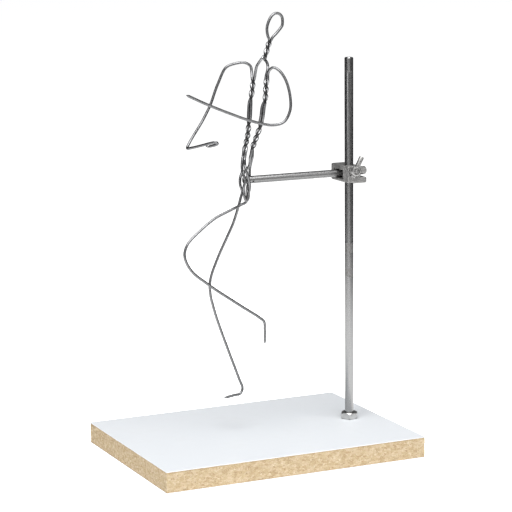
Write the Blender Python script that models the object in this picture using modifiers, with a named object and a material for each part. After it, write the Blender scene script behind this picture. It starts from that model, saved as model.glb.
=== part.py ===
# A running figure bent from aluminium wire, held by a bar and a cross clamp on an upright
# rod that stands in a white-faced chipboard board.
# Metres, +Z up. The origin is the middle of the board's underside. The figure faces -X.

from math import ceil, cos, pi, radians, sin, sqrt

import bmesh
import bpy
from mathutils import Matrix, Vector

MM = 0.001
GAP = 0.3 * MM
UP = Vector((0, 0, 1))

# Board
BOARD_LENGTH = 0.300
BOARD_DEPTH = 0.220
BOARD_THICKNESS = 0.023
BOARD_EDGE = 0.4 * MM

# Upright rod and its foot nut
ROD_DIAMETER = 9.5 * MM
ROD_HEIGHT = 0.400
ROD_SINK = 0.015
ROD_CHAMFER = 0.8 * MM
ROD_FROM_END = 0.036
ROD_FROM_FRONT = 0.107
NUT_ACROSS_FLATS = 17 * MM
NUT_HEIGHT = 7 * MM
NUT_CHAMFER = 1 * MM
NUT_TURN = radians(-25)

# Horizontal bar
BAR_DIAMETER = 8 * MM
BAR_HEIGHT = 0.273
BAR_REACH = 0.120
BAR_TAIL = 5 * MM
BAR_CHAMFER = 0.6 * MM
BAR_HOLE_DIAMETER = 2.4 * MM
BAR_HOLE_FROM_END = 10 * MM

# Clamp
CLAMP_WIDTH = 18 * MM
CLAMP_BELOW = 8 * MM
CLAMP_ABOVE = 10 * MM
CLAMP_FRONT_WALL = 5.8 * MM
CLAMP_SIDE_WALL = 1.5 * MM
CLAMP_WEB = 3.3 * MM
CLAMP_BACK_WALL = 6 * MM
CLAMP_ROUNDING = 1.2 * MM
WINDOW_HALF_HEIGHT = 4.9 * MM
WINDOW_VEE = radians(60)
WINDOW_BEHIND_BAR = 2 * MM
FLARE_HALF_HEIGHT = 5.3 * MM
FLARE_WALL = 1.65 * MM
FLARE_ANGLE = radians(25)
LUG_REACH = 7.2 * MM
LUG_DEPTH = 14 * MM
LUG_HEIGHT = 6.5 * MM
LUG_DROP = 1.2 * MM
BOSS_DIAMETER = 9 * MM
BOSS_REACH = 8.8 * MM

# Clamp screws
SCREW_DIAMETER = 5 * MM
SCREW_CLEARANCE = 0.3 * MM
ROD_SCREW_RISE = 5 * MM
ROD_SCREW_NECK = 0.5 * MM
HUB_DIAMETER = 10.4 * MM
HUB_LENGTH = 6.8 * MM
HANDLE_DIAMETER = 4.8 * MM
HANDLE_LENGTH = 24.5 * MM
HANDLE_ABOVE_HUB = 17 * MM
HANDLE_LEAN = radians(28)
HEAD_DIAMETER = 9 * MM
HEAD_LENGTH = 4.2 * MM
SLOT_WIDTH = 1.4 * MM
SLOT_DEPTH = 1.6 * MM
SCREW_CHAMFER = 0.7 * MM

# Wire figure: its height from toe to crown, and the wire
FIGURE_HEIGHT = 0.4145
WIRE_DIAMETER = 3 * MM
PAIR_GAP = 0.4 * MM
FACET_TURN = radians(20)
LONGEST_FACET = 12 * MM
ROUTE_SPACING = 0.5 * MM

ROUND_SIDES = 32
SMALL_SIDES = 20
HOLE_SIDES = 12

# Places worked out from the sizes above
board_top = BOARD_THICKNESS
rod_radius = ROD_DIAMETER / 2
bar_radius = BAR_DIAMETER / 2
wire_radius = WIRE_DIAMETER / 2
rod_x = BOARD_LENGTH / 2 - ROD_FROM_END
rod_y = ROD_FROM_FRONT - BOARD_DEPTH / 2
bar_z = board_top + BAR_HEIGHT
bore_radius = rod_radius + GAP
vee_apex = bore_radius + CLAMP_WEB
bar_back = vee_apex + (bar_radius + GAP) / sin(WINDOW_VEE)
bar_y = rod_y + bar_back
window_end = bar_back + bar_radius + WINDOW_BEHIND_BAR
clamp_front = -(bore_radius + CLAMP_FRONT_WALL)
clamp_back = window_end + CLAMP_BACK_WALL
bar_start = Vector((rod_x - BAR_REACH, bar_y, bar_z))
clamp_centre = Vector((rod_x, rod_y, bar_z))


def clear_scene():
    for obj in list(bpy.data.objects):
        bpy.data.objects.remove(obj, do_unlink=True)


def make_collection(name):
    collection = bpy.data.collections.new(name)
    bpy.context.scene.collection.children.link(collection)
    return collection


def make_material(name, colour, roughness, metallic):
    material = bpy.data.materials.new(name)
    material.use_nodes = True
    shader = material.node_tree.nodes["Principled BSDF"]
    shader.inputs["Base Color"].default_value = (*colour, 1)
    shader.inputs["Roughness"].default_value = roughness
    shader.inputs["Metallic"].default_value = metallic
    return material


def mesh_object(name, mesh_builder, collection, material=None):
    mesh = bpy.data.meshes.new(name)
    mesh_builder.to_mesh(mesh)
    mesh_builder.free()
    obj = bpy.data.objects.new(name, mesh)
    collection.objects.link(obj)
    if material:
        mesh.materials.append(material)
    return obj


def box(name, low, high, collection, material=None):
    size = Vector(high) - Vector(low)
    builder = bmesh.new()
    bmesh.ops.create_cube(builder, size=1, matrix=Matrix.Diagonal((*size, 1)))
    obj = mesh_object(name, builder, collection, material)
    obj.location = (Vector(high) + Vector(low)) / 2
    return obj


def turned(name, profile, start, direction, collection, material=None, sides=ROUND_SIDES):
    # The profile gives radius and distance along the axis, from the far end back to the start.
    mesh = bpy.data.meshes.new(name)
    points = [(radius, 0, along) for radius, along in profile]
    mesh.from_pydata(points, [(i, i + 1) for i in range(len(points) - 1)], [])
    obj = bpy.data.objects.new(name, mesh)
    collection.objects.link(obj)
    if material:
        mesh.materials.append(material)
    obj.location = start
    obj.rotation_euler = UP.rotation_difference(Vector(direction)).to_euler()
    screw = obj.modifiers.new("turning", "SCREW")
    screw.angle = 2 * pi
    screw.steps = sides
    screw.render_steps = sides
    screw.use_merge_vertices = True
    screw.merge_threshold = 0.00001
    screw.use_smooth_shade = True
    return obj


def rod_profile(radius, length, chamfer):
    return [(0, length), (radius - chamfer, length), (radius, length - chamfer),
            (radius, chamfer), (radius - chamfer, 0), (0, 0)]


def plain_cylinder(name, radius, start, end, collection, sides=ROUND_SIDES):
    start = Vector(start)
    span = Vector(end) - start
    profile = [(0, span.length), (radius, span.length), (radius, 0), (0, 0)]
    return turned(name, profile, start, span.normalized(), collection, sides=sides)


def outline_prism(name, corners, reach, collection):
    # A flat outline, drawn out by reach.
    builder = bmesh.new()
    ring = [builder.verts.new(corner) for corner in corners]
    face = builder.faces.new(ring)
    grown = bmesh.ops.extrude_face_region(builder, geom=[face])
    moved = [item for item in grown["geom"] if isinstance(item, bmesh.types.BMVert)]
    bmesh.ops.translate(builder, verts=moved, vec=reach)
    bmesh.ops.recalc_face_normals(builder, faces=builder.faces)
    return mesh_object(name, builder, collection)


def bevel(obj, width, segments):
    modifier = obj.modifiers.new("edges", "BEVEL")
    modifier.width = width
    modifier.segments = segments
    modifier.limit_method = "ANGLE"


def combine(obj, other, operation):
    modifier = obj.modifiers.new(operation.lower(), "BOOLEAN")
    modifier.operation = operation
    modifier.solver = "EXACT"
    modifier.object = other
    other.hide_render = True
    other.display_type = "WIRE"


def make_board(parts, cutters):
    white = make_material("white_melamine", (0.80, 0.82, 0.86), 0.35, 0)
    half = Vector((BOARD_LENGTH / 2, BOARD_DEPTH / 2, 0))
    board = box("base_board", -half, half + UP * BOARD_THICKNESS, parts, white)
    bevel(board, BOARD_EDGE, 1)
    socket = plain_cylinder("rod_socket", bore_radius, (rod_x, rod_y, board_top - ROD_SINK - GAP),
                            (rod_x, rod_y, board_top + NUT_HEIGHT), cutters)
    combine(board, socket, "DIFFERENCE")


def make_rod(parts):
    steel = make_material("bright_steel", (0.45, 0.45, 0.45), 0.25, 1)
    profile = rod_profile(rod_radius, ROD_SINK + ROD_HEIGHT, ROD_CHAMFER)
    foot = (rod_x, rod_y, board_top - ROD_SINK)
    turned("upright_rod", profile, foot, UP, parts, steel)


def make_foot_nut(parts, cutters):
    plated = make_material("plated_steel", (0.55, 0.55, 0.55), 0.3, 1)
    corner_radius = NUT_ACROSS_FLATS / 2 / cos(pi / 6)
    flat_radius = NUT_ACROSS_FLATS / 2
    base = Vector((rod_x, rod_y, board_top + GAP))
    builder = bmesh.new()
    bmesh.ops.create_cone(builder, cap_ends=True, segments=6, radius1=corner_radius,
                          radius2=corner_radius, depth=NUT_HEIGHT)
    nut = mesh_object("foot_nut", builder, parts, plated)
    nut.location = base + UP * NUT_HEIGHT / 2
    nut.rotation_euler.z = NUT_TURN
    top = NUT_HEIGHT + GAP
    slope = (corner_radius - flat_radius + NUT_CHAMFER) / NUT_CHAMFER
    outer = corner_radius + GAP
    profile = [(0, top), (flat_radius - NUT_CHAMFER / 2, top),
               (outer, top - NUT_CHAMFER / 2 - (outer - flat_radius) / slope), (outer, -GAP), (0, -GAP)]
    chamfer = turned("nut_chamfer", profile, base, UP, cutters)
    combine(nut, chamfer, "INTERSECT")
    bore = plain_cylinder("nut_bore", bore_radius, base - UP * GAP * 2,
                          base + UP * (NUT_HEIGHT + GAP * 2), cutters)
    combine(nut, bore, "DIFFERENCE")


def make_clamp_body(parts, cutters):
    zinc = make_material("cast_zinc", (0.42, 0.42, 0.42), 0.45, 1)
    half_width = CLAMP_WIDTH / 2
    low = clamp_centre + Vector((-half_width, clamp_front, -CLAMP_BELOW))
    high = clamp_centre + Vector((half_width, clamp_back, CLAMP_ABOVE))
    body = box("clamp_body", low, high, parts, zinc)
    bevel(body, CLAMP_ROUNDING, 2)

    lug_low = clamp_centre + Vector((0, clamp_front, -CLAMP_BELOW - LUG_DROP))
    lug_high = lug_low + Vector((half_width + LUG_REACH, LUG_DEPTH, LUG_HEIGHT))
    lug = box("clamp_lug", lug_low, lug_high, cutters)
    bevel(lug, CLAMP_ROUNDING, 2)
    combine(body, lug, "UNION")
    boss_y = clamp_front + BOSS_DIAMETER / 2 + CLAMP_ROUNDING + GAP
    boss_z = CLAMP_ABOVE - BOSS_DIAMETER / 2 - CLAMP_ROUNDING - GAP
    boss = plain_cylinder("clamp_boss", BOSS_DIAMETER / 2, clamp_centre + Vector((0, boss_y, boss_z)),
                          clamp_centre + Vector((half_width + BOSS_REACH, boss_y, boss_z)),
                          cutters, SMALL_SIDES)
    combine(body, boss, "UNION")

    over = LUG_REACH + CLAMP_WIDTH
    bore = plain_cylinder("clamp_bore", bore_radius, clamp_centre - UP * over,
                          clamp_centre + UP * over, cutters)
    combine(body, bore, "DIFFERENCE")
    vee_end = vee_apex + WINDOW_HALF_HEIGHT * cos(WINDOW_VEE) / sin(WINDOW_VEE)
    outline = [(vee_apex, 0), (vee_end, -WINDOW_HALF_HEIGHT), (window_end, -WINDOW_HALF_HEIGHT),
               (window_end, WINDOW_HALF_HEIGHT), (vee_end, WINDOW_HALF_HEIGHT)]
    window = outline_prism("bar_window", [(-over, y, z) for y, z in outline], (over * 2, 0, 0), cutters)
    window.location = clamp_centre
    combine(body, window, "DIFFERENCE")

    # The front is narrower on the figure's side, and the jaws open there in front of the bar.
    narrow = -(bore_radius + CLAMP_SIDE_WALL)
    slope_start, slope_end = -bore_radius, bore_radius - GAP * 3
    corners = [(-over, clamp_front - over), (narrow, clamp_front - over), (narrow, slope_start),
               (-half_width - GAP, slope_end), (-over, slope_end)]
    step = outline_prism("clamp_step", [(x, y, -over) for x, y in corners], (0, 0, over * 2), cutters)
    step.location = clamp_centre
    combine(body, step, "DIFFERENCE")
    along = Vector((sin(FLARE_ANGLE), cos(FLARE_ANGLE), 0))
    outward = Vector((-along.y, along.x, 0)) * (bore_radius + FLARE_WALL)
    inner = outward + along * ((vee_end + GAP - outward.y) / along.y)
    outer = outward - along * over
    corners = [outer, inner, Vector((-over * 2, inner.y, 0)), Vector((-over * 2, outer.y, 0))]
    flare = outline_prism("bar_flare", [corner - UP * FLARE_HALF_HEIGHT for corner in corners],
                          UP * FLARE_HALF_HEIGHT * 2, cutters)
    flare.location = clamp_centre
    combine(body, flare, "DIFFERENCE")
    hole_radius = SCREW_DIAMETER / 2 + SCREW_CLEARANCE
    rod_screw_hole = plain_cylinder(
        "rod_screw_hole", hole_radius, clamp_centre + Vector((0, clamp_front - over, ROD_SCREW_RISE)),
        clamp_centre + Vector((0, -rod_radius / 2, ROD_SCREW_RISE)), cutters, SMALL_SIDES)
    combine(body, rod_screw_hole, "DIFFERENCE")
    bar_screw_hole = plain_cylinder(
        "bar_screw_hole", hole_radius, clamp_centre + Vector((0, bar_back + bar_radius / 2, 0)),
        clamp_centre + Vector((0, clamp_back + over, 0)), cutters, SMALL_SIDES)
    combine(body, bar_screw_hole, "DIFFERENCE")
    return body


def make_rod_screw(parts, cutters):
    plated = make_material("plated_screw", (0.6, 0.6, 0.58), 0.3, 1)
    tip = clamp_centre + Vector((0, -(rod_radius + GAP), ROD_SCREW_RISE))
    neck = clamp_centre.y + clamp_front - ROD_SCREW_NECK
    shank = tip.y - neck
    length = shank + HUB_LENGTH
    radius = SCREW_DIAMETER / 2
    hub = HUB_DIAMETER / 2
    profile = [(0, length), (hub - SCREW_CHAMFER, length), (hub, length - SCREW_CHAMFER),
               (hub, shank + SCREW_CHAMFER), (hub - SCREW_CHAMFER, shank), (radius, shank),
               (radius, SCREW_CHAMFER), (radius - SCREW_CHAMFER, 0), (0, 0)]
    screw = turned("rod_screw", profile, tip, (0, -1, 0), parts, plated, SMALL_SIDES)

    centre = Vector((tip.x, neck - HUB_LENGTH / 2, tip.z))
    lean = Vector((sin(HANDLE_LEAN), 0, cos(HANDLE_LEAN)))
    start = centre - lean * (HANDLE_LENGTH - HANDLE_ABOVE_HUB)
    cross_hole = plain_cylinder("handle_hole", HANDLE_DIAMETER / 2 + GAP / 2, centre - lean * HUB_DIAMETER,
                                centre + lean * HUB_DIAMETER, cutters, SMALL_SIDES)
    combine(screw, cross_hole, "DIFFERENCE")
    handle_profile = rod_profile(HANDLE_DIAMETER / 2, HANDLE_LENGTH, SCREW_CHAMFER)
    turned("rod_screw_handle", handle_profile, start, lean, parts, plated, SMALL_SIDES)


def make_bar_screw(parts, cutters):
    plated = make_material("plated_slotted_screw", (0.55, 0.55, 0.53), 0.35, 1)
    tip = clamp_centre + Vector((0, bar_back + bar_radius + GAP, 0))
    shank = clamp_centre.y + clamp_back + GAP - tip.y
    length = shank + HEAD_LENGTH
    radius = SCREW_DIAMETER / 2
    head = HEAD_DIAMETER / 2
    profile = [(0, length), (head - SCREW_CHAMFER, length), (head, length - SCREW_CHAMFER),
               (head, shank), (radius, shank), (radius, SCREW_CHAMFER), (radius - SCREW_CHAMFER, 0), (0, 0)]
    screw = turned("bar_screw", profile, tip, (0, 1, 0), parts, plated, SMALL_SIDES)
    outside = tip.y + length
    slot = box("screw_slot", (tip.x - HEAD_DIAMETER, outside - SLOT_DEPTH, tip.z - SLOT_WIDTH / 2),
               (tip.x + HEAD_DIAMETER, outside + SLOT_DEPTH, tip.z + SLOT_WIDTH / 2), cutters)
    combine(screw, slot, "DIFFERENCE")


def make_bar(parts, cutters):
    steel = make_material("drawn_bar", (0.50, 0.50, 0.49), 0.3, 1)
    length = BAR_REACH + CLAMP_WIDTH / 2 + BAR_TAIL
    bar = turned("support_bar", rod_profile(bar_radius, length, BAR_CHAMFER), bar_start, (1, 0, 0),
                 parts, steel)
    hole_centre = bar_start + Vector((BAR_HOLE_FROM_END, 0, 0))
    across = Vector((0, BAR_DIAMETER, 0))
    hole = plain_cylinder("bar_hole", BAR_HOLE_DIAMETER / 2, hole_centre - across, hole_centre + across,
                          cutters, HOLE_SIDES)
    combine(bar, hole, "DIFFERENCE")


# The figure's places are in millimetres from the middle of the bar's end: right, away and up,
# for a figure of drawn_height. A side of the body adds the turns of its twisted pair.
drawn_height = 414.5
pair_spacing = 0.8
far_side = [(20.4, 16.4, 107.5, 0.08), (19.8, 16, 103, 0.264), (19.2, 15.7, 99, 0.52), (18.5, 15.3, 94.9, 0.764),
            (17.5, 14.7, 90.8, 1.02), (16.4, 14, 86.6, 1.24), (15.2, 13.5, 82.5, 1.36), (13.9, 12.6, 73, 1.42),
            (13, 11.6, 65, 1.42), (12.2, 11, 60.5, 1.35), (11.7, 10.6, 57.4, 1.24), (11, 9.9, 53.6, 1.01),
            (10.2, 9.2, 49.8, 0.764), (9.4, 8.7, 46.4, 0.51), (8.5, 8.2, 43.1, 0.264), (7.4, 7.8, 39.8, 0.01),
            (6.5, 7.4, 36.6, -0.236), (5.6, 7.2, 32.8, -0.45), (4.9, 7, 29, -0.57), (4.2, 6.7, 25.5, -0.6)]
near_side = [(20.8, -17, 112.5, -0.15), (20.5, -17, 108, -0.08), (20.1, -16.8, 105, 0.05), (19.8, -16.6, 101.2, 0.264),
             (19.75, -16.3, 97.3, 0.52), (19.7, -16, 93.4, 0.764), (19.6, -15.5, 89.3, 1.01), (19.3, -15, 84.9, 1.264),
             (18.3, -14.4, 81.5, 1.38), (17.4, -14, 78, 1.42), (16.6, -13.2, 70, 1.42), (16, -11.9, 64, 1.42),
             (15.5, -11.2, 60, 1.38), (15, -10.8, 57, 1.264), (13.6, -10.1, 53, 1.01), (12.1, -9.5, 48.8, 0.764),
             (10.9, -8.9, 45.2, 0.51), (9.8, -8.4, 41.7, 0.264), (8.6, -7.9, 38.4, 0.01), (7.4, -7.4, 35, -0.236),
             (7.1, -7.1, 31.5, -0.3), (6.9, -6.9, 28.5, -0.32), (6.4, -6.5, 25, -0.36)]
neck = [(24.9, 0, 128.4, -0.05), (27.4, 0, 132.3, -0.319), (28.7, 0, 136.4, -0.58), (29.8, 0, 140.3, -0.819),
        (31.1, 0, 143.5, -1.08), (32.3, 0, 146.4, -1.319), (33, 0, 148.4, -1.45)]
far_phase = radians(-30)
near_phase = radians(150)
neck_phase = radians(180)

head_loop = [(35.8, 0, 150.6), (40.4, 0, 154.9), (45.3, 0, 160.3), (47.1, 0, 162.9), (47.6, 0, 167), (47.1, 0, 171.4),
             (44.6, 0, 174.8), (39.9, 0, 176.1), (35.7, 0, 174), (32.9, 0, 170.7), (30.1, 0, 164.6), (29.2, 0, 159.7),
             (29.6, 0, 155.3), (30.4, 0, 151.8)]
far_neck = [(23.1, 8, 123.5), (22.3, 12, 119.1), (22.2, 15.2, 112)]
near_neck = [(25.3, -5.5, 126.4), (24.8, -10, 123.9), (22.9, -14.8, 119.2)]
far_hip = [(1.5, 6.2, 19), (0.9, 5.4, 14), (0.7, 4.5, 8.5), (-2.4, 3, 1.7), (-2.7, 2.5, -5.6), (-0.7, 2, -12.7),
           (-2.4, 2, -19), (-4.9, 1.5, -26.5)]
near_hip = [(7.6, -2.5, 17.2), (8.2, 1, 11.4), (9.8, 5.4, 5.3), (10.1, 6.4, 0.8), (9, 6.2, -3.9),
            (7.2, 5.3, -8), (6.2, 3.6, -11.5), (5.4, 1.6, -15.5), (4, -0.2, -20.1), (2.3, -1.5, -23.5),
            (-0.3, -2.2, -24.9), (-3.5, -2.8, -25.7)]
pelvis_fold = [(3.2, 3.4, 20.6), (1.4, -0.8, 18.3), (-0.7, -6, 15.6), (-0.3, -8.1, 11.2), (2.9, -7.6, 0.3),
               (4.5, -6.5, -7.8), (3.5, -5.6, -13), (2.7, -5.4, -19.6), (1.05, -5.4, -21.6),
               (-0.6, -5.4, -19.6), (-1.8, -5.2, -10.5), (-2.2, -6, -6), (-0.6, -6.4, 0.4),
               (-2.2, -5, 7.6), (1.2, -3.4, 11.2), (4.9, -4.8, 15.8)]
support_leg = [(-10.6, 4, -46), (-26.8, 8, -82), (-35.9, 9, -106), (-36.5, 9, -121), (-30.5, 8, -146.7),
               (-17.7, 5, -185.5), (-7.1, 2, -216.5), (-3.2, 1, -228.5), (-6.5, 0, -233.9),
               (-14, -1.2, -234.4), (-26.5, -3, -235.5)]
raised_leg = [(-6.8, -3.6, -26.8), (-17, -7, -29.6), (-39, -11, -37.2), (-61.2, -15, -51),
              (-74, -18, -61.9), (-77.5, -19, -73.4), (-69.9, -19, -89.3), (-50.4, -18, -105.9),
              (-11.5, -16, -133.3), (9.6, -15, -147.6), (15.8, -15, -153.2), (16.8, -15, -162.4),
              (16.6, -15, -177.3)]
far_arm = [(20.2, 19.8, 112), (19.8, 22.4, 119.2), (14.1, 24.6, 122.9), (1.8, 28, 121.5), (-6, 30, 117.6),
           (-14.4, 32, 100.4), (-25.3, 32, 75.1), (-38.4, 30, 55.3), (-49.6, 28, 41), (-54.3, 24, 34.9),
           (-51.5, 18.8, 35.9), (-43.3, 7.2, 39.7), (-34.9, -4, 43.1), (-32.9, -5.4, 42.9),
           (-31.7, -4.2, 41.4), (-32.6, -2, 40.2), (-38.6, 5.8, 37.5)]
near_arm = [(21.9, -20, 117.6), (25, -23.6, 121.1), (29.8, -28, 118), (35.1, -33, 107.9),
            (38.1, -37, 91.4), (37.3, -38, 75.8), (30.2, -38, 64.5), (17.7, -36, 61.8), (-2.3, -33, 66.2),
            (-34, -32, 78.1), (-60.3, -33, 89.4), (-79.3, -35, 98.4)]


def blend(low, high, low_knot, high_knot, at):
    share = (at - low_knot) / (high_knot - low_knot)
    return [(1 - share) * a + share * b for a, b in zip(low, high)]


def curve_value(knots, points, index, fraction):
    # Centripetal Catmull-Rom between points index and index + 1.
    p0, p1, p2, p3 = points[index - 1:index + 3]
    t0, t1, t2, t3 = knots[index - 1:index + 3]
    at = t1 + (t2 - t1) * fraction
    first = blend(p0, p1, t0, t1, at)
    middle = blend(p1, p2, t1, t2, at)
    last = blend(p2, p3, t2, t3, at)
    return blend(blend(first, middle, t0, t2, at), blend(middle, last, t1, t3, at), t1, t2, at)


def beyond(end, inner):
    return [2 * a - b for a, b in zip(end, inner)]


def smooth_through(points, spacing):
    padded = [beyond(points[0], points[1]), *points, beyond(points[-1], points[-2])]
    knots = [0]
    for a, b in zip(padded, padded[1:]):
        knots.append(knots[-1] + sqrt((Vector(b[:3]) - Vector(a[:3])).length))
    result = []
    for index in range(1, len(padded) - 2):
        span = (Vector(padded[index + 1][:3]) - Vector(padded[index][:3])).length
        steps = max(1, ceil(span / spacing))
        result += [curve_value(knots, padded, index, step / steps) for step in range(steps)]
    result.append(list(points[-1]))
    return result


def figure_place(point):
    return bar_start + Vector(point[:3]) * MM * FIGURE_HEIGHT / (drawn_height * MM)


def free_stretch(points):
    return [figure_place(point) for point in points]


def twisted_stretch(centres, phase):
    # One wire of a pair that winds round its own centre line.
    line = smooth_through(centres, pair_spacing)
    places = [figure_place(point) for point in line]
    winding = (WIRE_DIAMETER + PAIR_GAP) / 2
    result = []
    for i, (place, point) in enumerate(zip(places, line)):
        along = (places[min(i + 1, len(line) - 1)] - places[max(i - 1, 0)]).normalized()
        right = Vector((1, 0, 0))
        right = (right - along * right.dot(along)).normalized()
        away = right.cross(along) if along.z < 0 else along.cross(right)
        angle = phase + 2 * pi * point[3]
        result.append(place + (right * cos(angle) + away * sin(angle)) * winding)
    return result


def clear_of_bar(points):
    # Wire beside the bar stays outside it, and wire past its end stays off the end face.
    nearest = bar_radius + wire_radius + GAP
    result = []
    for point in points:
        offset = point - bar_start
        side = Vector((0, offset.y, offset.z))
        if offset.x > 0 and side.length < nearest:
            point = bar_start + Vector((offset.x, 0, 0)) + side.normalized() * nearest
        elif side.length < bar_radius and offset.x > -(wire_radius + GAP):
            point = bar_start + side - Vector((wire_radius + GAP, 0, 0))
        result.append(point)
    return result


def thinned(points):
    # Keeps a point where the wire has turned by a facet's angle or run a facet's length.
    kept = [points[0]]
    turned_by = 0
    for i in range(1, len(points) - 1):
        before = points[i] - points[i - 1]
        after = points[i + 1] - points[i]
        turned_by += before.angle(after, 0)
        if turned_by >= FACET_TURN or (points[i] - kept[-1]).length >= LONGEST_FACET:
            kept.append(points[i])
            turned_by = 0
    return kept + [points[-1]]


def make_wire(name, route, parts, material):
    dense = [Vector(point) for point in smooth_through([list(point) for point in route], ROUTE_SPACING)]
    points = thinned(clear_of_bar(dense))
    curve = bpy.data.curves.new(name, "CURVE")
    curve.dimensions = "3D"
    curve.bevel_depth = wire_radius
    curve.bevel_resolution = 2
    curve.use_fill_caps = True
    spline = curve.splines.new("POLY")
    spline.points.add(len(points) - 1)
    for target, point in zip(spline.points, points):
        target.co = (*point, 1)
    curve.materials.append(material)
    obj = bpy.data.objects.new(name, curve)
    parts.objects.link(obj)
    return obj


def make_figure(parts):
    opposite = pi
    body = (free_stretch(support_leg[::-1]) + free_stretch(far_hip[::-1])
            + twisted_stretch(far_side[::-1], far_phase) + free_stretch(far_neck[::-1])
            + twisted_stretch(neck, neck_phase) + free_stretch(head_loop)
            + twisted_stretch(neck[::-1], neck_phase + opposite) + free_stretch(near_neck)
            + twisted_stretch(near_side, near_phase) + free_stretch(near_hip)
            + free_stretch(raised_leg))
    arms = (free_stretch(far_arm[::-1]) + twisted_stretch(far_side, far_phase + opposite)
            + free_stretch(pelvis_fold) + twisted_stretch(near_side[::-1], near_phase + opposite)
            + free_stretch(near_arm))
    dull = make_material("aluminium_wire", (0.40, 0.40, 0.41), 0.4, 1)
    dull_arms = make_material("aluminium_wire_arms", (0.42, 0.42, 0.43), 0.4, 1)
    make_wire("body_wire", body, parts, dull)
    make_wire("arm_wire", arms, parts, dull_arms)


def main():
    clear_scene()
    parts = make_collection("wire_figure_stand")
    cutters = make_collection("cutters")
    make_board(parts, cutters)
    make_rod(parts)
    make_foot_nut(parts, cutters)
    make_clamp_body(parts, cutters)
    make_rod_screw(parts, cutters)
    make_bar_screw(parts, cutters)
    make_bar(parts, cutters)
    make_figure(parts)


main()
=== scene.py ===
# A running figure bent from wire, held by a bar and cross clamp on a rod in a faced chipboard board
from math import ceil, cos, pi, radians, sin, sqrt

import bpy
from mathutils import Matrix, Vector, kdtree, noise


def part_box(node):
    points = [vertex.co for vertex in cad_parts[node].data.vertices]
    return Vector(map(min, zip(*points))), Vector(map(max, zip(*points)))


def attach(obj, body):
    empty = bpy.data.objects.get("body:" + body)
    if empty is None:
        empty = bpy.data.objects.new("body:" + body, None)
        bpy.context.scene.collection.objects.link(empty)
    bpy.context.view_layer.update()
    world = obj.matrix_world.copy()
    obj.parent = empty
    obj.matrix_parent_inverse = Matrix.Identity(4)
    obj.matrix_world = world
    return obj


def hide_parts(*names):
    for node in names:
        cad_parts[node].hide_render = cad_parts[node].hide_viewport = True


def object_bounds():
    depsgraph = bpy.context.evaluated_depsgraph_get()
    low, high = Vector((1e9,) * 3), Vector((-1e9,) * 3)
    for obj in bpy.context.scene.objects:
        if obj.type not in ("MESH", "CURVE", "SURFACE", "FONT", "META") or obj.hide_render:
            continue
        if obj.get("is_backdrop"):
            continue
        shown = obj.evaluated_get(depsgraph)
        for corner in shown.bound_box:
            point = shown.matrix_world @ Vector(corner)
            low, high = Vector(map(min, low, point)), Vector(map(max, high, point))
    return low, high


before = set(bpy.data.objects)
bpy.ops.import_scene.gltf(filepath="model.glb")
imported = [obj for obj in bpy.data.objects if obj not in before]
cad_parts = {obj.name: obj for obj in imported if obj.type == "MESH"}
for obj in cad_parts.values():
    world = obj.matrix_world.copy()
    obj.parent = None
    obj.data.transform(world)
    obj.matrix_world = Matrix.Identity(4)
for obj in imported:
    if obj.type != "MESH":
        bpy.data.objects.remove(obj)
cadLow, cadHigh = (Vector(corner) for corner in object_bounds())
mm = 0.001


def millimetres(**lengths):
    return {name: length * mm for name, length in lengths.items()}


def boxCorners(node):
    return [Vector(corner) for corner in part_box(node)]


def boxMiddle(node):
    low, high = boxCorners(node)
    return (low + high) / 2, high - low


# shader maths
class Signal:
    # wraps a socket, so that shader maths reads as Python
    def __init__(self, tree, socket=None):
        self.tree = tree
        self.socket = socket

    def feed(self, socket, value):
        if isinstance(value, Signal):
            self.tree.links.new(value.socket, socket)
        else:
            socket.default_value = value

    def add(self, kind, settings=None, inputs=None, output=0):
        node = self.tree.nodes.new(kind)
        for name, value in (settings or {}).items():
            setattr(node, name, value)
        for name, value in (inputs or {}).items():
            self.feed(node.inputs[name], value)
        return Signal(self.tree, node.outputs[output])

    def maths(self, operation, first, second=0.0):
        return self.add("ShaderNodeMath", {"operation": operation}, {0: first, 1: second})

    def __add__(self, other):
        return self.maths("ADD", self, other)

    def __radd__(self, other):
        return self.maths("ADD", other, self)

    def __sub__(self, other):
        return self.maths("SUBTRACT", self, other)

    def __rsub__(self, other):
        return self.maths("SUBTRACT", other, self)

    def __mul__(self, other):
        return self.maths("MULTIPLY", self, other)


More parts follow.
